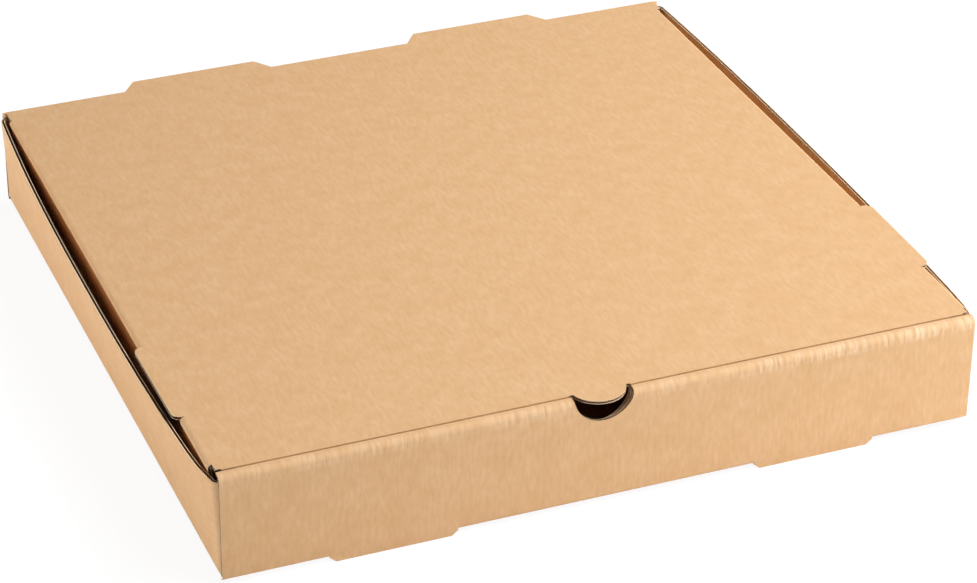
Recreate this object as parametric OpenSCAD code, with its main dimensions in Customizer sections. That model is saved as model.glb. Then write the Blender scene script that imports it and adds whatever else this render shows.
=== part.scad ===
// Pizza box folded from one die-cut blank of corrugated board.
// The tray has a front wall that rolls over on itself and locks into the base,
// and side walls whose corner tabs are trapped behind the front and back walls.
// The lid swings on the crease at the top of the back wall.

/* [Board] */
// Thickness of the corrugated board
board_t = 1.6; // [1.2:0.1:2]
// Outside radius of a creased fold
fold_r = 2.1; // [2.05:0.05:3]
// Depth to which a crease is crushed on each face
crush = 0.1; // [0.05:0.01:0.2]
// Gap between two layers of board that lie against each other
layer_gap = 0.2; // [0.1:0.05:0.4]
// Running gap between the lid and the tray
slip = 0.4; // [0.3:0.05:0.8]

/* [Tray] */
// Outside width across the side walls
tray_w = 362; // [300:1:460]
// Outside depth from the front wall to the back wall
tray_d = 358; // [300:1:460]
// Height of the front wall
front_h = 52.5; // [50:0.5:70]
// Height of the back wall up to the crease of the lid
back_h = 47.5; // [46:0.5:60]
// Height of the side walls at the front
side_front_h = 48.5; // [36:0.5:48.5]
// Height of the side walls at the back
side_rear_h = 45.5; // [36:0.5:45.5]
// Outward lean of the side walls' top edge at the front
front_lean = 4; // [0:0.5:6]
// Outward lean of the side walls' top edge at the back
rear_lean = 3; // [0:0.5:6]
// Belly of the side walls at the middle of their top edge, beyond their lean
wall_bow = 4; // [0.5:0.5:12]

/* [Front wall] */
// Diameter of the thumb notch
notch_dia = 27; // [26:0.5:40]
// Sideways place of the thumb notch and thumb tab
notch_x = -3; // [-20:0.5:20]
// Length of each foot tab at its root
foot_len = 60; // [30:1:80]
// Reach of the foot tabs below the base
foot_h = 4; // [2:0.5:6]
// Slant of each end of a foot tab
foot_slant = 3; // [1:0.5:5]
// Distance of each foot tab from the middle
foot_x = 102; // [60:1:120]

/* [Corner tabs] */
// Outside radius of the upright corner bends
corner_r = 6; // [4:0.5:7]
// Length of the corner tabs behind the front wall
front_tab_len = 70; // [30:1:110]
// Length of the corner tabs behind the back wall
rear_tab_len = 50; // [20:1:56]

/* [Lid] */
// Depth of the tuck flap behind the front wall
tuck_h = 36; // [20:1:42]
// Inward lean of the tuck flap, which lets it swing clear of the front wall
tuck_lean = 5; // [4.6:0.1:10]
// Inset of the tuck flap's ends from the sides of the lid
tuck_inset = 8; // [4:0.5:20]
// Slant of the tuck flap's ends
tuck_slant = 14; // [4:1:30]
// Depth of the side flaps
flap_h = 34; // [20:1:38]
// Inset of the side flaps' ends from the front and back walls
flap_inset = 6; // [4:0.5:20]
// Slant of the side flaps' ends
flap_slant = 8; // [2:1:20]
// Drop from the top of a side wall to where the side flap bears on it
bear_drop = 18; // [4:0.5:24]

/* [Tabs of the lid] */
// Reach of the thumb tab beyond the front crease
thumb_reach = 8.5; // [5:0.5:10]
// Diameter of the thumb tab's edge
thumb_dia = 26.5; // [22:0.5:26.5]
// Reach of each side tab beyond the side crease
side_tab_reach = 6; // [4:0.5:8]
// Length of each side tab
side_tab_len = 62; // [30:1:90]
// Distance of each side tab's middle from the front wall
side_tab_y = 83; // [60:1:150]
// Corner radius of the side tabs
side_tab_r = 4; // [1:0.5:4]
// Reach of each rear tab beyond the rear crease
rear_reach = 9.5; // [5:0.5:14]
// Length of each rear tab at its root
rear_len = 79; // [40:1:90]
// Slant of each end of a rear tab
rear_slant = 7; // [2:0.5:10]
// Distance of each rear tab from the middle
rear_x = 77; // [50:1:78]

/* [Hidden] */
kraft = [0.85, 0.69, 0.50];
arc_steps = 5;
bow_steps = 14;
// Shape of the belly: 2 is a parabola, more is flatter in the middle
bow_power = 2.4;
overlap = 1;

half_w = tray_w / 2;
inner_x = half_w - board_t;
// The rolled front wall is three layers deep: outer wall, corner tab, inner wall
roll_d = 3 * board_t + 2 * layer_gap;
roll_r = roll_d - fold_r;
tab_y = board_t + layer_gap;
wall_y0 = tab_y + corner_r;
wall_y1 = tray_d - wall_y0;
floor_z = board_t + layer_gap;

crease_x = inner_x - slip;
panel_x = crease_x - fold_r;
lid_y = roll_d + layer_gap;
lid_slope = atan((front_h - back_h) / (tray_d - lid_y));
// Thickness of the lid measured upright
lid_t = board_t / cos(lid_slope);
// Where the front fold of the lid meets its flat top
fold_y = lid_y + fold_r;
flap_y0 = roll_d + flap_inset;
flap_y1 = tray_d - 2 * tab_y - flap_inset;
// The side walls stay below the lid
front_top = min(side_front_h, front_h - 2 * board_t - slip);
rear_top = min(side_rear_h, back_h - lid_t - slip);
bear_z = rear_top - bear_drop;
flap_z = back_h - flap_h;
// Room round a rear tab as it swings down through its hole, thickness included
vent_gap = slip + board_t / 4;

thumb_c = thumb_dia / 2 - thumb_reach;
front_reach = thumb_reach - lid_y;

// Points of an arc in the plane of a profile
function arc(c, r, a0, a1) =
    [for (i = [0 : arc_steps]) let (a = a0 + (a1 - a0) * i / arc_steps) c + r * [cos(a), sin(a)]];

// Points in reverse order
function backwards(list) = [for (i = [len(list) - 1 : -1 : 0]) list[i]];

// Share of the way along a side wall at depth y
function along(y) = min(max((y - wall_y0) / (wall_y1 - wall_y0), 0), 1);

// Height of a side wall at depth y
function wall_top(y) = front_top + (rear_top - front_top) * along(y);

// Lean and belly of a side wall at depth y and height z
function belly(y, z) =
    let (t = along(y), lean = front_lean + (rear_lean - front_lean) * t)
    (lean + wall_bow * (1 - pow(abs(2 * t - 1), bow_power))) * (z - fold_r) / (wall_top(y) - fold_r);

// Height of the lid's upper face at depth y
function lid_top(y) = back_h + (tray_d - y) * tan(lid_slope);

// Stands the box frame on its feet, centred over the origin
module place() {
    translate([0, (front_reach - rear_reach - tray_d) / 2, foot_h]) children();
}

// Profile drawn in depth and height, spread over the width from x0 to x1
module across(x0, x1) {
    translate([x0, 0, 0]) rotate([90, 0, 90]) linear_extrude(x1 - x0) children();
}

// Outline drawn in width and height, cut through the depth from y0 to y1
module through(y0, y1) {
    translate([0, y1, 0]) rotate([90, 0, 0]) linear_extrude(y1 - y0) children();
}

// Copies its children on the left and the right
module both_sides() {
    children();
    mirror([1, 0, 0]) children();
}

// Trapezium with its root on the first axis, reaching along the second
module tab_outline(length, reach, slant, root = 0) {
    polygon([
        [-length / 2, -root], [length / 2, -root], [length / 2, 0],
        [length / 2 - slant, reach], [-length / 2 + slant, reach], [-length / 2, 0]
    ]);
}

// Closes two equal grids of points into one sheet of board
module sheet(outer, inner) {
    rows = len(outer);
    cols = len(outer[0]);
    side = rows * cols;
    function at(s, i, j) = s * side + i * cols + j;
    function quad(a, b, c, d) = [[a, b, c], [a, c, d]];
    faces = concat(
        [for (i = [0 : rows - 2], j = [0 : cols - 2])
            each quad(at(0, i, j), at(0, i, j + 1), at(0, i + 1, j + 1), at(0, i + 1, j))],
        [for (i = [0 : rows - 2], j = [0 : cols - 2])
            each quad(at(1, i, j), at(1, i + 1, j), at(1, i + 1, j + 1), at(1, i, j + 1))],
        [for (i = [0 : rows - 2])
            each quad(at(0, i, 0), at(0, i + 1, 0), at(1, i + 1, 0), at(1, i, 0))],
        [for (i = [0 : rows - 2])
            each quad(at(0, i, cols - 1), at(1, i, cols - 1), at(1, i + 1, cols - 1), at(0, i + 1, cols - 1))],
        [for (j = [0 : cols - 2])
            each quad(at(0, 0, j), at(1, 0, j), at(1, 0, j + 1), at(0, 0, j + 1))],
        [for (j = [0 : cols - 2])
            each quad(at(0, rows - 1, j), at(0, rows - 1, j + 1), at(1, rows - 1, j + 1), at(1, rows - 1, j))]
    );
    polyhedron([for (grid = [outer, inner]) for (row = grid) each row], faces);
}

// Base with a slot behind each foot tab for the lock tabs
module base() {
    difference() {
        translate([-half_w + fold_r, fold_r, 0])
            cube([tray_w - 2 * fold_r, tray_d - 2 * fold_r, board_t]);
        lock_slots();
    }
}

// Places its children over both foot tabs
module at_feet() {
    for (s = [-1, 1]) translate([s * foot_x, 0, 0]) children();
}

// Cuts that the foot tabs leave in the base and in its front fold
module lock_slots() {
    at_feet() translate([0, board_t, -overlap])
        linear_extrude(overlap + board_t + layer_gap / 2)
            tab_outline(foot_len, roll_d - board_t + slip, foot_slant);
}

// Front wall from the base up to the crest of its roll
module front_wall() {
    root_y = fold_r + overlap;
    path = concat(
        [[root_y, crush]],
        arc([fold_r, fold_r], fold_r, 270, 180),
        arc([roll_r, front_h - roll_r], roll_r, 180, 90),
        arc([roll_r, front_h - roll_r], roll_r - board_t, 90, 180),
        arc([fold_r, fold_r], fold_r - board_t, 180, 270),
        [[root_y, board_t - crush]]
    );
    difference() {
        across(-half_w, half_w) polygon(path);
        lock_slots();
    }
    at_feet() through(0, board_t) mirror([0, 1]) tab_outline(foot_len, foot_h, foot_slant, fold_r);
}

// Inner front wall from the crest of the roll down to the base, with its lock tabs
module inner_wall() {
    top_x = inner_x - slip;
    low_x = half_w - corner_r;
    flare = 2 * top_x - low_x;
    root_y = roll_r - overlap / 2;
    path = concat(
        [[root_y, front_h - crush]],
        arc([roll_r, front_h - fold_r], fold_r, 90, 0),
        [[roll_d, floor_z], [roll_d - board_t, floor_z]],
        arc([roll_r, front_h - fold_r], fold_r - board_t, 0, 90),
        [[root_y, front_h - board_t + crush]]
    );
    intersection() {
        across(-top_x, top_x) polygon(path);
        through(0, roll_d + overlap)
            polygon([[-low_x, 0], [low_x, 0], [flare, 2 * front_top], [-flare, 2 * front_top]]);
    }
    lock_len = foot_len - 2 * foot_slant - 2 * slip;
    at_feet() translate([-lock_len / 2, roll_d - board_t, 0])
        cube([lock_len, board_t, floor_z + overlap]);
}

// Thumb notch through both layers of the front wall and the roll between them
module notch() {
    translate([notch_x, -overlap, front_h]) rotate([-90, 0, 0])
        cylinder(d = notch_dia, h = roll_d + 2 * overlap, $fn = 64);
}

// Back wall, cut at its top for the crease of the lid, with the holes of the rear tabs
module back_wall() {
    root_y = tray_d - fold_r - overlap;
    path = concat(
        [[root_y, crush]],
        arc([tray_d - fold_r, fold_r], fold_r, 270, 360),
        [[tray_d, back_h], [tray_d - board_t, back_h - board_t]],
        arc([tray_d - fold_r, fold_r], fold_r - board_t, 360, 270),
        [[root_y, board_t - crush]]
    );
    difference() {
        across(-half_w, half_w) polygon(path);
        for (s = [-1, 1]) translate([s * rear_x, 0, back_h - board_t])
            through(tray_d - board_t - overlap, tray_d + overlap) mirror([0, 1])
                tab_outline(rear_len + 2 * vent_gap, rear_reach + vent_gap - board_t, rear_slant, board_t + overlap);
    }
}

// Right side wall with its base fold and its belly, bent round both corners into the tabs that are
// trapped behind the front and back walls
module side_wall() {
    c = [half_w - fold_r, fold_r];
    root_x = c[0] - overlap;
    root_z = fold_r + overlap / 2;
    fold = concat(
        [[root_x, crush]],
        arc(c, fold_r - crush, 270, 360),
        [[half_w - crush, root_z], [inner_x + crush, root_z]],
        arc(c, fold_r - board_t + crush, 360, 270),
        [[root_x, board_t - crush]]
    );
    through(wall_y0, wall_y1) polygon(fold);
    bend_x = half_w - corner_r;
    function plan(inset) = concat(
        [[half_w - front_tab_len, tab_y + inset]],
        arc([bend_x, wall_y0], corner_r - inset, -90, 0),
        [for (i = [1 : bow_steps - 1]) [half_w - inset, wall_y0 + (wall_y1 - wall_y0) * i / bow_steps]],
        arc([bend_x, wall_y1], corner_r - inset, 0, 90),
        [[half_w - rear_tab_len, tray_d - tab_y - inset]]
    );
    function upright(p) = [for (z = [fold_r, wall_top(p[1])]) [p[0] + belly(p[1], z), p[1], z]];
    sheet([for (p = plan(0)) upright(p)], [for (p = plan(board_t)) upright(p)]);
}

// Tray: base, walls, rolled front and corner tabs
module tray() {
    color(kraft) place() difference() {
        union() {
            base();
            front_wall();
            inner_wall();
            back_wall();
            both_sides() side_wall();
        }
        notch();
    }
}

// Board in the plane of the closed lid, cut to an outline drawn in plan
module lid_board() {
    ends = [-tray_d, 2 * tray_d];
    intersection() {
        across(-tray_w, tray_w) polygon([
            [ends[0], lid_top(ends[0])], [ends[1], lid_top(ends[1])],
            [ends[1], lid_top(ends[1]) - lid_t], [ends[0], lid_top(ends[0]) - lid_t]
        ]);
        linear_extrude(2 * front_h) children();
    }
}

// Outline of the top panel, with every tab that stays in its plane
module panel_outline() {
    translate([-panel_x, fold_y]) square([2 * panel_x, tray_d - fold_y]);
    translate([-crease_x, fold_y]) square([2 * crease_x, flap_y0 - fold_y]);
    translate([-crease_x, flap_y1]) square([2 * crease_x, tray_d - flap_y1]);
    thumb_outline();
    for (s = [-1, 1]) {
        translate([s * rear_x, tray_d]) tab_outline(rear_len, rear_reach, rear_slant, overlap);
        scale([s, 1]) translate([panel_x, side_tab_y]) side_tab_outline();
    }
}

// Outline of the thumb tab, which reaches over the notch
module thumb_outline() {
    intersection() {
        translate([notch_x, lid_y + thumb_c]) circle(d = thumb_dia, $fn = 64);
        translate([notch_x - thumb_dia / 2, fold_y + overlap - thumb_dia]) square(thumb_dia);
    }
}

// Outline of a side tab with two round corners
module side_tab_outline() {
    reach = fold_r + side_tab_reach;
    mid = (side_tab_len - 2 * side_tab_r) / 2;
    translate([-overlap, -side_tab_len / 2]) square([overlap + reach - side_tab_r, side_tab_len]);
    translate([-overlap, -mid]) square([overlap + reach, 2 * mid]);
    for (s = [-1, 1]) translate([reach - side_tab_r, s * mid]) circle(side_tab_r, $fn = 32);
}

// Top panel, mitred along the rear crease between its rear tabs
module top_panel() {
    tab_in = rear_x - rear_len / 2;
    tab_out = rear_x + rear_len / 2;
    below = 3 * board_t;
    hinge_y = tray_d - crush / 2;
    difference() {
        lid_board() panel_outline();
        for (span = [[-tray_w, -tab_out], [-tab_in, tab_in], [tab_out, tray_w]])
            across(span[0], span[1]) polygon([
                [hinge_y - below, back_h - below], [hinge_y + below, back_h - below], [hinge_y + below, back_h + below]
            ]);
    }
}

// Tuck flap with the hole that the thumb tab leaves in it
module tuck_flap() {
    level = 90 - lid_slope;
    plumb = 180 - lid_slope + tuck_lean;
    down = [-sin(plumb), cos(plumb)];
    out = [cos(plumb), sin(plumb)];
    c = [fold_y, lid_top(fold_y)] - fold_r * [cos(level), sin(level)];
    root_y = fold_y + overlap;
    face = c + fold_r * out;
    back = c + (fold_r - board_t) * out;
    tip = (tuck_h - fold_r) * down;
    fold = concat(
        [[root_y, lid_top(root_y) - crush]],
        arc(c, fold_r - crush, level, plumb),
        [face + crush * down, face + tip, back + tip, back + crush * down],
        arc(c, fold_r - board_t + crush, plumb, level),
        [[root_y, lid_top(root_y) - lid_t + crush]]
    );
    top_x = crease_x - tuck_inset;
    top_z = lid_top(lid_y) - fold_r;
    low_z = top_z - tuck_h;
    difference() {
        intersection() {
            across(-crease_x, crease_x) polygon(fold);
            through(0, tuck_h) polygon([
                [-crease_x, top_z], [-top_x, top_z], [tuck_slant - top_x, low_z], [top_x - tuck_slant, low_z],
                [top_x, top_z], [crease_x, top_z], [crease_x, 2 * front_h], [-crease_x, 2 * front_h]
            ]);
        }
        translate([notch_x, 0, lid_top(lid_y) + thumb_c]) rotate([-90, 0, 0])
            cylinder(d = thumb_dia + slip, h = tuck_h, $fn = 64);
    }
}

// Right side flap before its cut: it folds down from the panel and bears on the side wall's belly
module side_flap_sheet() {
    fold_angles = [0, 35, 70];
    function bear_x(y, z) = inner_x - slip + belly(y, z);
    function y_at(i, inset) = flap_y0 + inset + (flap_y1 - flap_y0 - 2 * inset) * i / bow_steps;
    function root_point(y, r) = [panel_x - overlap, y, lid_top(y) - fold_r + r];
    function fold_point(y, a, r) = [panel_x + r * sin(a), y, lid_top(y) - fold_r + r * cos(a)];
    function bear_point(y, z, inset) = [bear_x(y, z) - inset, y, z];
    function section(i, inset, r) = concat(
        [bear_point(y_at(i, flap_slant), flap_z, inset), bear_point(y_at(i, 0), bear_z, inset)],
        [for (a = backwards(fold_angles)) fold_point(y_at(i, 0), a, r)],
        [root_point(y_at(i, 0), r)]
    );
    sheet(
        [for (i = [0 : bow_steps]) section(i, 0, fold_r - crush)],
        [for (i = [0 : bow_steps]) section(i, board_t, fold_r - lid_t + crush)]
    );
}

// Side flap with the cut that its tab leaves below the crease
module side_flap() {
    difference() {
        side_flap_sheet();
        translate([panel_x, side_tab_y - side_tab_len / 2 - slip, lid_top(side_tab_y) - lid_t - side_tab_reach])
            cube([fold_r + front_lean + wall_bow, side_tab_len + 2 * slip, 2 * side_tab_reach]);
    }
}

// Lid: top panel with its tabs, tuck flap and side flaps
module lid() {
    color(kraft) place() {
        top_panel();
        tuck_flap();
        both_sides() side_flap();
    }
}

tray();
lid();
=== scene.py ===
import bpy, bmesh, math
from mathutils import Matrix, Vector


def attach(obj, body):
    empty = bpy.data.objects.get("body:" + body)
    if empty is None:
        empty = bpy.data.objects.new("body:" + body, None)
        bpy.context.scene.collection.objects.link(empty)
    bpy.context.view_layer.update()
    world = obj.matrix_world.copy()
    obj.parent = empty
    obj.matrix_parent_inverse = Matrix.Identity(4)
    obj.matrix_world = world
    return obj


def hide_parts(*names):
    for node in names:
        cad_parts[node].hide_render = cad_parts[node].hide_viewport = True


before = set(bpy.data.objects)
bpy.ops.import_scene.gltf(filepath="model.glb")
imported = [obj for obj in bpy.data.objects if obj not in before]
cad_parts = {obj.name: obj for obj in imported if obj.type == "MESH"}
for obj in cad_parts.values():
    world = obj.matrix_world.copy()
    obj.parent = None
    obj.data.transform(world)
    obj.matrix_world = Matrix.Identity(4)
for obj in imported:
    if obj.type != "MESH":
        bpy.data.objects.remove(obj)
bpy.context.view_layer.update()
scene = bpy.context.scene
scene.view_settings.view_transform = "Standard"

# The board is laid out flat as (u, v, w) in millimetres, w from its outer face inwards, and then folded
boardSettings = {
    "thickness": 1.6,
    "liner": 0.24,
    "medium": 0.22,
    "flutePitch": 3.3,
    "fluteSteps": 8,
    "foldRadius": 2.1,
    "creaseRadius": 0.5,
    "creaseLeft": 0.3,
    "creaseReach": 2,
    "arcSteps": 8,
    "mitreReach": 4,
    "crushReach": 1.2,
    "hairline": 0.01,
    "sharpAngle": 32,
    "boxToRow": (0.742, -182.2, 2.5),
}
# Faces inside the board take a darker brown with painted shade, crushed ends a fifth of that darkening
cutMarks = {"paper": 0, "crushed": 0.1, "brownAndShadedInside": 0.5, "edge": 1}  # what a face of the board shows
metre = 1000  # millimetres
boardT = boardSettings["thickness"]
foldR = boardSettings["foldRadius"]
creaseR = boardSettings["creaseRadius"]
quarterFold = foldR * math.pi / 2


def leftOf(angle):
    return Vector((-math.sin(angle), math.cos(angle)))


# Path of lines (length) and left-hand arcs (radius, degrees) with the board on its left
def foldPath(start, heading, steps):
    legs, place, angle, run = [], Vector(start), math.radians(heading), 0.0
    for step in steps:
        radius, turn = step if isinstance(step, tuple) else (None, 0)
        length = radius * math.radians(turn) if radius else step
        legs.append((run, radius, place.copy(), angle, length))
        if radius:
            centre = place + radius * leftOf(angle)
            angle += math.radians(turn)
            place = centre - radius * leftOf(angle)
        else:
            place = place + length * Vector((math.cos(angle), math.sin(angle)))
        run += length

    def at(along):
        passed = [leg for leg in legs if leg[0] <= along + 1e-9 or leg is legs[0]]
        begin, radius, origin, angle, _ = passed[-1]
        if radius:
            turned = angle + (along - begin) / radius
            return origin + radius * (leftOf(angle) - leftOf(turned)), leftOf(turned)
        return origin + (along - begin) * Vector((math.cos(angle), math.sin(angle))), leftOf(angle)

    marks = [leg[0] for leg in legs] + [run]
    arcLines = []
    for begin, radius, _, _, length in legs:
        if radius:
            arcLines += spread(begin, begin + length, boardSettings["arcSteps"])
    return at, marks, arcLines


def clamp(value):
    return min(max(value, 0), 1)


# Share of the mitre at the length v, on a board that is mitred at its end
def mitred(v, end):
    reach = boardSettings["mitreReach"]
    return clamp((v - end + reach) / reach)


# Share of the thickness left where a sharp crease from low to high crushes the board
def crushed(v, low, high):
    near = max(1 - max(low - v, v - high, 0) / boardSettings["creaseReach"], 0)
    return 1 - (1 - boardSettings["creaseLeft"]) * near


def spread(low, high, count):
    return [low + (high - low) * i / count for i in range(count + 1)]


def arcPoints(centre, radius, start, end, count):
    angles = [math.radians(a) for a in spread(start, end, count)]
    return [(centre[0] + radius * math.cos(a), centre[1] + radius * math.sin(a)) for a in angles]


def mirrorOutline(outline):
    return [(-u, v) for u, v in reversed(outline)]


def cutAlong(bm, axis, lines, **clear):
    for line in lines:
        point, normal = [0, 0, 0], [0, 0, 0]
        point[axis], normal[axis] = line, 1
        everything = bm.verts[:] + bm.edges[:] + bm.faces[:]
        bmesh.ops.bisect_plane(bm, geom=everything, dist=1e-4, plane_co=point, plane_no=normal, **clear)


def flatSheet(outlines, uLines=(), vLines=()):
    bm = bmesh.new()
    for outline in outlines:
        bm.faces.new([bm.verts.new((u, v, 0)) for u, v in outline])
    bmesh.ops.remove_doubles(bm, verts=bm.verts, dist=1e-3)
    cutAlong(bm, 0, uLines)
    cutAlong(bm, 1, vLines)
    return bm


# Gives a flat sheet of paper its thickness, upwards from the height low
def thicken(bm, low, thick):
    region = bmesh.ops.extrude_face_region(bm, geom=bm.faces[:])
    raised = [e for e in region["geom"] if isinstance(e, bmesh.types.BMVert)]
    bmesh.ops.translate(bm, verts=bm.verts, vec=(0, 0, low))
    bmesh.ops.translate(bm, verts=raised, vec=(0, 0, thick))
    bmesh.ops.recalc_face_normals(bm, faces=bm.faces)


# Folds one layer of paper and adds it to the piece, inner is the side (1 or -1) that faces the flutes
def addLayer(piece, bm, fold, acrossFlutes, cutMark, wrinkle, side, inner=0):
    blank = bm.loops.layers.uv.new("blank")
    cut = bm.faces.layers.float.new("cut")
    rough = bm.verts.layers.float.new("wrinkle")
    for face in bm.faces:
        face.normal_update()
        face.smooth = True
        # Liner faces towards the inside of the board get the darker brown with painted shade
        hidden = cutMarks["brownAndShadedInside"] if inner * face.normal.z > 0.5 else cutMarks["paper"]
        face[cut] = cutMark or (cutMarks["edge"] if abs(face.normal.z) < 0.5 else hidden)
        for loop in face.loops:
            place = loop.vert.co
            loop[blank].uv = (place[acrossFlutes] / metre, place[1 - acrossFlutes] / metre)
    offset = Vector(boardSettings["boxToRow"])
    for vert in bm.verts:
        u, v, w = vert.co
        vert[rough] = wrinkle(u, v) if wrinkle else 0
        x, y, z = fold(u, v, w)
        vert.co = (Vector((side * x, y, z)) + offset) / metre
    bmesh.ops.recalc_face_normals(bm, faces=bm.faces)
    holder = bpy.data.meshes.new("holder")
    bm.to_mesh(holder)
    bm.free()
    piece.from_mesh(holder)
    bpy.data.meshes.remove(holder)


# Two liners, with the fluted paper between them inside the windows, where a cut edge shows it
def addBoard(piece, sheet, fold, acrossFlutes=0, windows=(), wrinkle=None, side=1):
    s = boardSettings
    for low, inner in ((0, 1), (boardT - s["liner"], -1)):
        liner = sheet.copy()
        thicken(liner, low, s["liner"])
        addLayer(piece, liner, fold, acrossFlutes, None, wrinkle, side, inner)
    step = s["flutePitch"] / s["fluteSteps"]
    for (u0, v0), (u1, v1) in windows:
        flutes = sheet.copy()
        for axis, low, high in ((0, u0, u1), (1, v0, v1)):
            cutAlong(flutes, axis, [low], clear_inner=True)
            cutAlong(flutes, axis, [high], clear_outer=True)
        low, high = ((u0, u1), (v0, v1))[acrossFlutes]
        waveLines = range(math.ceil(low / step), math.floor(high / step) + 1)
        cutAlong(flutes, acrossFlutes, [i * step for i in waveLines])
        thicken(flutes, 0, s["medium"])
        swing = (boardT - 2 * s["liner"] - s["medium"]) / 2
        for vert in flutes.verts:
            wave = math.sin(2 * math.pi * vert.co[acrossFlutes] / s["flutePitch"])
            vert.co.z += boardT / 2 - s["medium"] / 2 + swing * wave
        addLayer(piece, flutes, fold, acrossFlutes, cutMarks["brownAndShadedInside"], None, side)


# Closes the board along the spans of its end where a crease crushes it
def addCrush(piece, spans, end, fold):
    low = end - boardSettings["crushReach"]
    core = flatSheet([[(a, low), (b, low), (b, end), (a, end)] for a, b in spans])
    thicken(core, boardSettings["liner"], boardT - 2 * boardSettings["liner"])
    addLayer(piece, core, fold, 0, cutMarks["crushed"], None, 1)


def finishPiece(bm, name, material):
    mesh = bpy.data.meshes.new(name)
    bm.to_mesh(mesh)
    bm.free()
    mesh.set_sharp_from_angle(angle=math.radians(boardSettings["sharpAngle"]))
    mesh.materials.append(material)
    obj = bpy.data.objects.new(name, mesh)
    scene.collection.objects.link(obj)
    print(name, len(mesh.vertices), "vertices", len(mesh.polygons), "faces")
    return obj


# Kraft paper: brown fibres, faint flute ribs and wrinkles where the board is rolled over, with painted
# highlights and painted shade on the wrinkles, painted shade inside the board and a painted highlight on the
# cut edges
kraftSettings = {
    "paper": (0.80, 0.492, 0.252),
    "paperPale": (0.86, 0.56, 0.315),
    # dark fibres and specks, also used as the painted shade in the pleats
    "darkFibreAndShade": (0.66, 0.375, 0.17),
    # painted highlight on the lit sides of the roll's pleats
    "pleatHighlightColour": (0.95, 0.70, 0.46),
    # pale cut paper, raised further to a painted highlight on the raw edges
    "cutEdgeAndHighlight": (0.95, 0.80, 0.60),
    # darker medium paper with painted shade inside the board
    "insideBrownAndShade": (0.42, 0.22, 0.09),
    "clouds": {"scale": 95, "detail": 6, "stretch": (1, 1, 1), "range": (0.3, 0.7)},
    "fibres": {"scale": 520, "detail": 5, "stretch": (1, 0.3, 1), "range": (0.3, 0.7)},
    "specks": {"scale": 1100, "detail": 2, "stretch": (1, 0.45, 1), "range": (0.66, 0.74)},
    "pleats": {"scale": 560, "detail": 3, "stretch": (1, 0.14, 1)},
    "patches": {"scale": 45, "detail": 2, "stretch": (1, 0.2, 1), "range": (0.4, 0.6)},
    "cloudShare": 0.75,
    "fibreShare": 0.4,
    "speckShare": 0.45,
    "patchShare": 0.7,
    "patchLeast": 0.3,
    "pleatHighlightSpan": (0.42, 0.62, 0.15, 0.85),  # noise from and to, share from and to
    "pleatShade": (0.42, 0.3, 0, 0.5),
    "ribHeight": 0.04,
    "fibreHeight": 0.3,
    "pleatHeight": 10,
    "bumpStrength": 0.5,
    "bumpDistance": 0.0002,
    "roughness": 0.82,
    "specular": 0.25,
}


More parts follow.
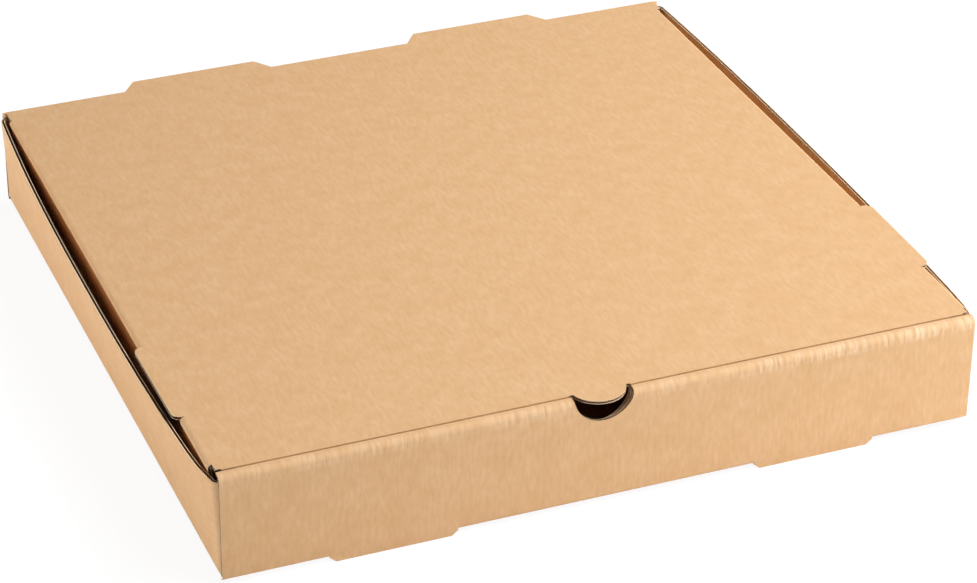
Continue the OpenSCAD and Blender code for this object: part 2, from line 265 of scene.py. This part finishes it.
def makeKraft(s):
    mat = bpy.data.materials.new("kraftBoard")
    mat.use_nodes = True
    tree = mat.node_tree
    nodes, links = tree.nodes, tree.links
    shader = nodes["Principled BSDF"]

    def node(kind, **values):
        made = nodes.new(kind)
        for key, value in values.items():
            setattr(made, key, value)
        return made

    def feed(slot, value):
        if isinstance(value, tuple):
            slot.default_value = (*value, 1)
        elif isinstance(value, (int, float)):
            slot.default_value = value
        else:
            links.new(value, slot)

    def noise(vector, grain):
        mapping = node("ShaderNodeMapping")
        mapping.inputs["Scale"].default_value = grain["stretch"]
        links.new(vector, mapping.inputs["Vector"])
        made = node("ShaderNodeTexNoise")
        made.inputs["Scale"].default_value = grain["scale"]
        made.inputs["Detail"].default_value = grain["detail"]
        links.new(mapping.outputs[0], made.inputs["Vector"])
        return made.outputs["Fac"]

    def remap(value, low, high, outLow=0.0, outHigh=1.0):
        made = node("ShaderNodeMapRange")
        for slot, number in zip(made.inputs, (value, low, high, outLow, outHigh)):
            feed(slot, number)
        return made.outputs[0]

    def spreadNoise(vector, grain):
        return remap(noise(vector, grain), *grain["range"])

    def calc(operation, a, b):
        made = node("ShaderNodeMath", operation=operation)
        feed(made.inputs[0], a)
        feed(made.inputs[1], b)
        return made.outputs[0]

    def mix(factor, a, b):
        made = node("ShaderNodeMix", data_type="RGBA")
        for slot, value in ((0, factor), (6, a), (7, b)):  # the node's factor and two colours
            feed(made.inputs[slot], value)
        return made.outputs[2]

    coords = node("ShaderNodeTexCoord").outputs["Object"]
    flat = node("ShaderNodeUVMap", uv_map="blank").outputs[0]
    cut = node("ShaderNodeAttribute", attribute_name="cut").outputs["Fac"]
    wrinkled = node("ShaderNodeAttribute", attribute_name="wrinkle").outputs["Fac"]
    split = node("ShaderNodeSeparateXYZ")
    links.new(flat, split.inputs[0])

    clouds = spreadNoise(coords, s["clouds"])
    fibres = spreadNoise(flat, s["fibres"])
    specks = spreadNoise(flat, s["specks"])
    pleats = noise(flat, s["pleats"])
    patches = spreadNoise(flat, s["patches"])

    colour = mix(calc("MULTIPLY", clouds, s["cloudShare"]), s["paper"], s["paperPale"])
    colour = mix(calc("MULTIPLY", fibres, s["fibreShare"]), colour, s["darkFibreAndShade"])
    colour = mix(calc("MULTIPLY", specks, s["speckShare"]), colour, s["darkFibreAndShade"])
    patchy = calc("ADD", calc("MULTIPLY", patches, s["patchShare"]), s["patchLeast"])
    creased = calc("MULTIPLY", wrinkled, patchy)
    # Painted highlight and painted shade along the pleats, where the bump also creases the roll
    colour = mix(calc("MULTIPLY", creased, remap(pleats, *s["pleatHighlightSpan"])), colour, s["pleatHighlightColour"])
    colour = mix(calc("MULTIPLY", creased, remap(pleats, *s["pleatShade"])), colour, s["darkFibreAndShade"])
    # Inside the board: darker medium colour with painted shade
    colour = mix(remap(cut, cutMarks["paper"], cutMarks["brownAndShadedInside"]), colour, s["insideBrownAndShade"])
    # Raw edges: pale cut paper with a painted highlight
    colour = mix(remap(cut, cutMarks["brownAndShadedInside"], cutMarks["edge"]), colour, s["cutEdgeAndHighlight"])
    links.new(colour, shader.inputs["Base Color"])
    shader.inputs["Roughness"].default_value = s["roughness"]
    shader.inputs["Specular IOR Level"].default_value = s["specular"]

    turns = calc("MULTIPLY", split.outputs["X"], 2 * math.pi * metre / boardSettings["flutePitch"])
    ribs = calc("MULTIPLY", calc("SINE", turns, 0), s["ribHeight"])
    height = calc("ADD", ribs, calc("MULTIPLY", fibres, s["fibreHeight"]))
    folds = calc("MULTIPLY", calc("MULTIPLY", creased, pleats), s["pleatHeight"])
    height = calc("ADD", height, folds)
    bump = node("ShaderNodeBump")
    bump.inputs["Strength"].default_value = s["bumpStrength"]
    bump.inputs["Distance"].default_value = s["bumpDistance"]
    links.new(height, bump.inputs["Height"])
    links.new(bump.outputs[0], shader.inputs["Normal"])
    return mat


kraft = makeKraft(kraftSettings)
print("kraft material ready")

# Sizes in millimetres in the box's own frame: front wall at y 0, underside of the base at z 0
traySettings = {
    "halfWidth": 181,
    "depth": 358,
    "frontHeight": 54,
    "backHeight": 49,
    "layerGap": 0.2,
    "slip": 0.4,
    "cornerRadius": 4,
    "wallFrontTop": 50,
    "wallRearTop": 47,
    "leftLean": 4,
    "rightLean": 4.2,
    "rearLean": 2,
    "pinned": 0.6,
    "pinReach": 25,
    "leftBow": 5,
    "rightBow": 3.48,
    "bowPower": 2.4,
    "bowSteps": 28,
    "frontTab": 70,
    "rearTab": 50,
    "notchRadius": 14.5,
    "notchRise": 2.2,
    "innerNotch": 2.6,
    "notchX": -3,
    "footX": 102,
    "footHalf": 30,
    "footSlant": 3,
    "footReach": 2.5,
    "ventX": 77,
    "ventHalf": 40.3,
    "ventSlant": 7,
    "ventDepth": 10.3,
    "notchSteps": 24,
    "rollLines": (-150, 150, 10),
    "bandLines": (0.5, 1, 1.6, 2.2, 2.8, 3.4),
    "wallLine": 20,
    "pleatMiddle": 3.2,
    "pleatFade": 2.2,
    "pleatSide": 120,
    "pleatLeft": 0.5,
    "notchWindow": (3, 1),  # how far the fluted paper goes past the notch, to the sides and below
    "ventWindow": (2, 4),
    "footWindow": 0.5,
    "rimWindow": (6, 1),  # below the rim and above it
}
halfW = traySettings["halfWidth"]
depth = traySettings["depth"]
innerX = halfW - boardT
rollDepth = 3 * boardT + 2 * traySettings["layerGap"]
rollR = rollDepth - foldR
tabY = boardT + traySettings["layerGap"]
wallY0 = tabY + traySettings["cornerRadius"]
wallY1 = depth - wallY0


def wallShare(y):
    return clamp((y - wallY0) / (wallY1 - wallY0))


def wallTop(y):
    s = traySettings
    return s["wallFrontTop"] + (s["wallRearTop"] - s["wallFrontTop"]) * wallShare(y)


# Lean and belly of the right (side 1) or left (side -1) wall
def belly(y, z, side):
    s, t = traySettings, wallShare(y)
    frontLean, bow = (s["rightLean"], s["rightBow"]) if side > 0 else (s["leftLean"], s["leftBow"])
    free = 1 - s["pinned"] * max(1 - (y - tabY) / s["pinReach"], 0) ** 2  # the roll holds the front corner in
    lean = free * (frontLean + (s["rearLean"] - frontLean) * t)
    return (lean + bow * (1 - abs(2 * t - 1) ** s["bowPower"])) * (z - foldR) / (wallTop(y) - foldR)


# Rolled front wall, base and back wall: one strip from front to back
def addFrontToBack(piece, s):
    floorZ = boardT + s["layerGap"]
    frontH, backH, slip = s["frontHeight"], s["backHeight"], s["slip"]
    at, marks, lines = foldPath((rollDepth, floorZ), 90, [
        frontH - creaseR - floorZ, (creaseR, 90), foldR - creaseR, (rollR, 90), frontH - rollR - foldR,
        (foldR, 90), depth - 2 * foldR, (foldR, 90), backH - foldR,
    ])
    creaseStart, crest, rollStart, rollEnd, frontFoot, baseFront, baseBack, _, top = marks[1:]

    def fold(u, v, w):
        point, inward = at(v)
        y, z = point + w * crushed(v, creaseStart, crest) * inward
        return u, y, z - w * mitred(v, top)

    # Lengths along the strip at a height on the front wall and on the inner wall
    def frontAt(z):
        over = z - (frontH - rollR)
        if over < 0:
            return rollEnd - over
        return rollStart + rollR * (math.pi / 2 - math.asin(min(over / rollR, 1)))

    def innerAt(z):
        over = z - (frontH - creaseR)
        if over < 0:
            return z - floorZ
        return creaseStart + creaseR * math.asin(min(over / creaseR, 1))

    radius, notchX = s["notchRadius"], s["notchX"]
    notch = []
    deeper = 1 + s["innerNotch"] / (radius - s["notchRise"])
    angles = spread(0, math.acos(s["notchRise"] / radius), s["notchSteps"])
    for lengthAt, stretch, order in ((frontAt, 1, 1), (innerAt, deeper, -1)):
        for a in angles[::order]:
            drop = stretch * (radius * math.cos(a) - s["notchRise"])
            notch.append((radius * math.sin(a), lengthAt(frontH - drop)))
    footX, footHalf, slant = s["footX"], s["footHalf"], s["footSlant"]
    lockHalf = footHalf - slant - slip
    wallX, lowX = innerX - slip, halfW - s["cornerRadius"]
    lowX += (wallX - lowX) * floorZ / s["wallFrontTop"]

    def frontHalf(side):
        edge = [
            (footX - lockHalf, 0), (footX - lockHalf, -floorZ),
            (footX + lockHalf, -floorZ), (footX + lockHalf, 0),
            (lowX, 0), (wallX, s["wallFrontTop"] - floorZ), (wallX, crest),
            (halfW, crest), (halfW, frontFoot),
            (footX + footHalf, frontFoot), (footX - footHalf, frontFoot),
        ]
        rim = [(notchX + side * reach, v) for reach, v in notch]
        return rim + [(notchX, 0)] + [(side * u, v) for u, v in edge] + [(notchX, frontFoot)]

    slotEnd = baseFront + rollDepth + slip - foldR
    ventX, ventHalf, ventSlant, ventLow = s["ventX"], s["ventHalf"], s["ventSlant"], top - s["ventDepth"]
    right = [
        (footX - footHalf, frontFoot), (footX - footHalf + slant, slotEnd),
        (footX + footHalf - slant, slotEnd), (footX + footHalf, frontFoot), (halfW, frontFoot),
        (halfW, baseFront), (halfW - foldR, baseFront), (halfW - foldR, baseBack),
        (halfW, baseBack), (halfW, top), (ventX + ventHalf, top),
        (ventX + ventHalf, top - boardT), (ventX + ventHalf - ventSlant, ventLow),
        (ventX - ventHalf + ventSlant, ventLow), (ventX - ventHalf, top - boardT), (ventX - ventHalf, top),
    ]
    lines += [rollEnd + line for line in s["bandLines"]]
    lines += [creaseStart - boardSettings["creaseReach"], top - boardSettings["mitreReach"]]
    outlines = [frontHalf(-1), frontHalf(1), right + mirrorOutline(right)]
    sheet = flatSheet(outlines, spread(*s["rollLines"]), lines)

    # The outside of the roll is creased into small pleats, more so towards the right, and the pleats carry
    # painted highlights and painted shade
    def wrinkle(u, v):
        near = clamp(2 - abs(v - rollStart - s["pleatMiddle"]) / s["pleatFade"])
        strength = s["pleatLeft"] + (1 - s["pleatLeft"]) * clamp(u / s["pleatSide"])
        return near * strength if v > creaseStart else 0

    beside, below = s["notchWindow"]
    reach, low = radius + beside, frontH - radius - s["innerNotch"] - below
    windows = [((notchX - reach, innerAt(low)), (notchX + reach, frontAt(low)))]
    beside, below = s["ventWindow"]
    for side in (-1, 1):
        corner = (side * ventX - ventHalf - beside, ventLow - below)
        windows.append((corner, (side * ventX + ventHalf + beside, top)))
    addBoard(piece, sheet, fold, windows=windows, wrinkle=wrinkle)
    sheet.free()
    inner, outer = ventX - ventHalf, ventX + ventHalf
    spans = [(-halfW, -outer), (-inner, inner), (outer, halfW)]
    addCrush(piece, spans, top, fold)

    # Foot tabs hang straight down from the front wall
    def hang(u, v, w):
        return u, w, v

    half = [(footHalf, foldR), (footHalf, 0), (footHalf - slant, -s["footReach"])]
    for side in (-1, 1):
        sheet = flatSheet([[(side * footX + u, v) for u, v in half + mirrorOutline(half)]])
        window = ((side * footX - footHalf, -s["footReach"]), (side * footX + footHalf, s["footWindow"]))
        addBoard(piece, sheet, hang, windows=[window])
        sheet.free()


# Side walls, bent round the corners into their tabs
def addSideWalls(piece, s):
    radius = s["cornerRadius"]
    at, marks, bends = foldPath((halfW - s["frontTab"], tabY), 0, [
        s["frontTab"] - radius, (radius, 90), wallY1 - wallY0, (radius, 90), s["rearTab"] - radius,
    ])
    _, _, wallStart, wallEnd, _, tabEnd = marks

    def foldFor(side):
        def fold(u, v, w):
            point, inward = at(u)
            x, y = point + w * inward
            if v < quarterFold:
                a = v / foldR
                return halfW - foldR + (foldR - w) * math.sin(a), y, foldR - (foldR - w) * math.cos(a)
            z = foldR + v - quarterFold
            return x + belly(y, z, side), y, z
        return fold

    def topAt(y):
        return quarterFold + wallTop(y) - foldR

    outline = [
        (wallStart, 0), (wallEnd, 0), (wallEnd, quarterFold),
        (tabEnd, quarterFold), (tabEnd, topAt(depth)),
        (wallEnd, topAt(wallY1)), (wallStart, topAt(wallY0)),
        (0, topAt(0)), (0, quarterFold), (wallStart, quarterFold),
    ]
    uLines = bends + spread(wallStart, wallEnd, s["bowSteps"])[1:-1]
    vLines = spread(0, quarterFold, boardSettings["arcSteps"])[1:] + [quarterFold + s["wallLine"]]
    sheet = flatSheet([outline], uLines, vLines)
    below, above = s["rimWindow"]
    rim = [((wallStart, topAt(wallY1) - below), (wallEnd, topAt(wallY0) + above))]
    for side, windows in ((1, rim), (-1, [])):
        addBoard(piece, sheet, foldFor(side), acrossFlutes=1, windows=windows, side=side)
    sheet.free()


trayBm = bmesh.new()
addFrontToBack(trayBm, traySettings)
addSideWalls(trayBm, traySettings)
trayBoard = finishPiece(trayBm, "trayBoard", kraft)
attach(trayBoard, "tray")
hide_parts("tray")

lidSettings = {
    "leftFlare": 2.8,
    "rightFlare": 4.2,
    "shift": -0.8,
    "frontGap": 0.9,
    "thumbReach": 9.17,
    "thumbRadius": 13.22,
    "holeRadius": 14.8,
    "holeDrop": 18,
    "tuckDepth": 36,
    "tuckLean": 5,
    "tuckInset": 8,
    "tuckSlant": 14,
    "flapDepth": 34,
    "flapLean": 8,
    "flapInset": 6,
    "flapSlant": 8,
    "sideTabOver": 4,
    "sideTabCut": 8,
    "sideTabHalf": 31,
    "sideTabY": 83,
    "sideTabRadius": 4,
    "rearReach": 9.5,
    "rearHalf": 39.5,
    "rearSlant": 7,
    "rearX": 77,
    "mitreGap": 0.05,
    "crushGap": 0.1,
    "tuckShoulder": 1,
    "thumbSteps": 48,
    "tabSteps": 10,
    "holeSteps": 40,
    "thumbWindow": (16, 4),  # how far the fluted paper goes, to the sides and past the front
    "rearWindow": (6, 1),  # before the edge and past it
    "holeWindow": (16, 4),
    "tuckWindow": (5, 1),
    "flapWindow": 12,
}
rearHalfW = innerX - traySettings["slip"]
tabTip = halfW + lidSettings["sideTabOver"]
lidY = rollDepth + lidSettings["frontGap"]
lidFoldY = lidY + creaseR
frontOver = traySettings["frontHeight"] - traySettings["backHeight"]
lidRise = frontOver / (depth - rollDepth - traySettings["layerGap"])
flapY0 = rollDepth + lidSettings["flapInset"]
flapY1 = depth - 2 * tabY - lidSettings["flapInset"]
flapZ = traySettings["backHeight"] - lidSettings["flapDepth"]


def lidTop(y):
    return traySettings["backHeight"] + (depth - y) * lidRise


# Where the flat top ends on the right (side 1) or left (side -1)
def panelX(y, side):
    s = lidSettings
    flare = s["rightFlare"] if side > 0 else s["leftFlare"]
    return rearHalfW - foldR + flare * (depth - y) / (depth - flapY0) + side * s["shift"]


# Top panel with the tabs that stay in its plane
def addPanel(piece, s):
    def fold(u, v, w):
        inTab = abs(abs(u) - s["rearX"]) < s["rearHalf"] + boardSettings["hairline"]
        inThumb = abs(u - notchX) < thumbHalf + boardSettings["hairline"]
        mitre = 0 if inTab else mitred(v, depth)
        thick = w if inThumb else w * crushed(v, lidFoldY, lidFoldY)
        return u, v - (w + s["mitreGap"]) * mitre, lidTop(v) - thick

    notchX, r = traySettings["notchX"], s["sideTabRadius"]
    centreY = lidY + s["thumbRadius"] - s["thumbReach"]
    half = math.degrees(math.asin((centreY - lidFoldY) / s["thumbRadius"]))
    thumbHalf = s["thumbRadius"] * math.cos(math.radians(half))
    thumb = arcPoints((notchX, centreY), s["thumbRadius"], 180 + half, 360 - half, s["thumbSteps"])
    tabLow, tabHigh = s["sideTabY"] - s["sideTabHalf"], s["sideTabY"] + s["sideTabHalf"]
    outer, inner = s["rearX"] + s["rearHalf"], s["rearX"] - s["rearHalf"]
    rearY, rearEnd = flapY1 + traySettings["slip"], depth + s["rearReach"]

    def sideEdge(side):
        edge = [(panelX(y, side), y) for y in (lidFoldY, flapY0, tabLow)]
        edge += arcPoints((tabTip - r, tabLow + r), r, -90, 0, s["tabSteps"])
        edge += arcPoints((tabTip - r, tabHigh - r), r, 0, 90, s["tabSteps"])
        edge += [(panelX(y, side), y) for y in (tabHigh, rearY)]
        edge += [
            (rearHalfW, rearY), (rearHalfW, depth), (outer, depth), (outer - s["rearSlant"], rearEnd),
            (inner + s["rearSlant"], rearEnd), (inner, depth),
        ]
        return edge

    uLines = [-outer, -inner, notchX - thumbHalf, notchX + thumbHalf, inner, outer]
    vLines = [lidFoldY + boardSettings["creaseReach"], depth - boardSettings["mitreReach"]]
    sheet = flatSheet([thumb + sideEdge(1) + mirrorOutline(sideEdge(-1))], uLines, vLines)
    beside, ahead = s["thumbWindow"]
    windows = [((notchX - beside, -ahead), (notchX + beside, lidFoldY))]
    before, past = s["rearWindow"]
    for side in (-1, 1):
        low, high = sorted((side * inner, side * outer))
        windows.append(((low, rearEnd - before), (high, rearEnd + past)))
    addBoard(piece, sheet, fold, windows=windows)
    sheet.free()
    gap = s["crushGap"]
    spans = [(-rearHalfW, -outer - gap), (-inner + gap, inner - gap), (outer + gap, rearHalfW)]
    addCrush(piece, spans, depth, fold)


# Flap that is tucked behind the front wall, with the hole below the thumb tab
def addTuckFlap(piece, s):
    at, marks, lines = foldPath((lidFoldY, lidTop(lidFoldY)), 180 - math.degrees(math.atan(lidRise)), [
        (creaseR, 90 + s["tuckLean"]), s["tuckDepth"] - creaseR,
    ])
    creaseEnd, tuckEnd = marks[1:]

    def fold(u, v, w):
        point, inward = at(v)
        y, z = point + w * crushed(v, 0, creaseEnd) * inward
        return u, y, z

    notchX = traySettings["notchX"]
    radius = s["holeRadius"]
    centreZ = traySettings["frontHeight"] - s["holeDrop"] + radius
    low = creaseEnd + (at(creaseEnd)[0].y - centreZ + radius)
    rim = []
    for v in spread(0, low, s["holeSteps"])[:-1]:
        drop = centreZ - at(v)[0].y
        rim.append((math.sqrt(max(radius ** 2 - drop ** 2, boardSettings["hairline"])), v))
    topX, wideX = rearHalfW - s["tuckInset"], rearHalfW - s["tuckShoulder"]
    right = [(wideX, 0), (wideX, creaseEnd), (topX, creaseEnd), (topX - s["tuckSlant"], tuckEnd)]
    hole = [(notchX - reach, v) for reach, v in rim] + [(notchX, low)]
    hole += [(notchX + reach, v) for reach, v in reversed(rim)]
    lines += [creaseEnd + boardSettings["creaseReach"]]
    sheet = flatSheet([hole + right + mirrorOutline(right)], vLines=lines)
    beside, below = s["holeWindow"]
    before, past = s["tuckWindow"]
    windows = [
        ((notchX - beside, 0), (notchX + beside, low + below)),
        ((-topX, tuckEnd - before), (topX, tuckEnd + past)),
    ]
    addBoard(piece, sheet, fold, windows=windows)
    sheet.free()


# Side flaps, which lean inwards from the walls
def addSideFlaps(piece, s):
    slip, hang = traySettings["slip"], s["flapDepth"]
    tabLow, tabHigh = s["sideTabY"] - s["sideTabHalf"] - slip, s["sideTabY"] + s["sideTabHalf"] + slip
    cutV = quarterFold + hang * (s["sideTabCut"] - foldR) / (lidTop(s["sideTabY"]) - foldR - flapZ)
    endV = quarterFold + hang

    def foldFor(side):
        def fold(u, v, w):
            a = min(v / foldR, math.pi / 2)
            x = panelX(u, side) + (foldR - w) * math.sin(a)
            z = lidTop(u) - foldR + (foldR - w) * math.cos(a)
            t = max(v - quarterFold, 0) / hang
            lowX = panelX(u, side) + foldR - s["flapLean"] - w
            return x + (lowX - x) * t, u, z + (flapZ - z) * t
        return fold

    outline = [
        (flapY0, 0), (tabLow, 0), (tabLow, cutV), (tabHigh, cutV), (tabHigh, 0),
        (flapY1, 0), (flapY1, quarterFold), (flapY1 - s["flapSlant"], endV),
        (flapY0 + s["flapSlant"], endV), (flapY0, quarterFold),
    ]
    uLines = spread(flapY0, flapY1, traySettings["bowSteps"])[1:-1]
    vLines = spread(0, quarterFold, boardSettings["arcSteps"])[1:] + [quarterFold + hang / 2]
    sheet = flatSheet([outline], uLines, vLines)
    far = s["flapWindow"]
    windows = [((flapY0, 0), (flapY0 + far, endV)), ((flapY1 - far, 0), (flapY1, endV))]
    for side in (1, -1):
        addBoard(piece, sheet, foldFor(side), acrossFlutes=1, windows=windows, side=side)
    sheet.free()


lidBm = bmesh.new()
addPanel(lidBm, lidSettings)
addTuckFlap(lidBm, lidSettings)
addSideFlaps(lidBm, lidSettings)
lidBoard = finishPiece(lidBm, "lidBoard", kraft)
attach(lidBoard, "lid")
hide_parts("lid")

roomSettings = {
    "floorSize": 6,
    "floor": (0.85, 0.85, 0.85),
    "floorGlow": 0.93,
    "floorShade": 0.12,
    "floorRoughness": 0.9,
    "worldLight": 0.03,
    "lamps": {
        "rightLight": {"place": (1.7, 0.25, 1.9), "aim": (0, 0, 0), "size": (1.0, 1.0), "power": 38},
        "frontLight": {"place": (0.6, -0.7, 1.4), "aim": (0, 0, 0), "size": (0.8, 0.8), "power": 18},
        "leftStrip": {
            "place": (-1.6, 0.45, 0.03), "aim": (-0.18, -0.05, 0.03), "size": (2.2, 0.05), "power": 18.4,
        },
        "frontStrip": {
            "place": (0.9, -0.7, 0.03), "aim": (0.15, -0.18, 0.03), "size": (0.8, 0.05), "power": 4.7,
        },
    },
}


# Seen directly or in a reflection the surface is white, to other rays it is plain
def seenWhite(tree, plain, white, target):
    nodes, links = tree.nodes, tree.links
    path = nodes.new("ShaderNodeLightPath")
    seen = path.outputs["Is Camera Ray"]
    for name in ("Is Glossy Ray", "Is Transmission Ray"):
        either = nodes.new("ShaderNodeMath")
        either.operation = "MAXIMUM"
        links.new(seen, either.inputs[0])
        links.new(path.outputs[name], either.inputs[1])
        seen = either.outputs[0]
    choose = nodes.new("ShaderNodeMixShader")
    links.new(seen, choose.inputs[0])
    links.new(plain.outputs[0], choose.inputs[1])
    links.new(white.outputs[0], choose.inputs[2])
    links.new(choose.outputs[0], target.inputs["Surface"])


# The glow lifts the lit floor to white and leaves the shadow pale
def makeFloorMaterial(s):
    mat = bpy.data.materials.new("paleFloor")
    mat.use_nodes = True
    nodes, links = mat.node_tree.nodes, mat.node_tree.links
    plain = nodes["Principled BSDF"]
    plain.inputs["Base Color"].default_value = (*s["floor"], 1)
    plain.inputs["Roughness"].default_value = s["floorRoughness"]
    glow = nodes.new("ShaderNodeEmission")
    glow.inputs["Strength"].default_value = s["floorGlow"]
    shade = nodes.new("ShaderNodeBsdfDiffuse")
    shade.inputs["Color"].default_value = (s["floorShade"],) * 3 + (1,)
    both = nodes.new("ShaderNodeAddShader")
    links.new(glow.outputs[0], both.inputs[0])
    links.new(shade.outputs[0], both.inputs[1])
    seenWhite(mat.node_tree, plain, both, nodes["Material Output"])
    return mat


def makeRoom(s):
    bm = bmesh.new()
    bmesh.ops.create_grid(bm, x_segments=1, y_segments=1, size=s["floorSize"] / 2)
    mesh = bpy.data.meshes.new("floor")
    bm.to_mesh(mesh)
    bm.free()
    floor = bpy.data.objects.new("floor", mesh)
    scene.collection.objects.link(floor)
    mesh.materials.append(makeFloorMaterial(s))
    world = bpy.data.worlds.new("studio")
    world.use_nodes = True
    scene.world = world
    plain = world.node_tree.nodes["Background"]
    plain.inputs[0].default_value = (1, 1, 1, 1)
    plain.inputs[1].default_value = s["worldLight"]
    white = world.node_tree.nodes.new("ShaderNodeBackground")
    white.inputs[0].default_value = (1, 1, 1, 1)
    seenWhite(world.node_tree, plain, white, world.node_tree.nodes["World Output"])
    for name, lamp in s["lamps"].items():
        data = bpy.data.lights.new(name, "AREA")
        data.energy = lamp["power"]
        data.shape = "RECTANGLE"
        data.size, data.size_y = lamp["size"]
        obj = bpy.data.objects.new(name, data)
        obj.location = lamp["place"]
        obj.rotation_euler = (Vector(lamp["aim"]) - obj.location).to_track_quat("-Z", "Y").to_euler()
        obj.visible_camera = False
        scene.collection.objects.link(obj)
    print("room ready")


makeRoom(roomSettings)

viewSettings = {
    "place": (-0.52699, -1.34668, 0.88405),
    "azimuth": -21.93,
    "elevation": 31.237,
    "roll": 0.607,
    "lens": 127.46,
    "sensor": 36,
}


def placeCamera(s):
    camData = bpy.data.cameras.new("photoCamera")
    camData.lens = s["lens"]
    camData.sensor_width = s["sensor"]
    cam = bpy.data.objects.new("photoCamera", camData)
    turn = Matrix.Rotation(math.radians(s["azimuth"]), 4, "Z")
    tip = Matrix.Rotation(math.radians(90 - s["elevation"]), 4, "X")
    roll = Matrix.Rotation(math.radians(s["roll"]), 4, "Z")
    cam.matrix_world = Matrix.Translation(s["place"]) @ turn @ tip @ roll
    scene.collection.objects.link(cam)
    scene.camera = cam
    print("camera placed")


placeCamera(viewSettings)
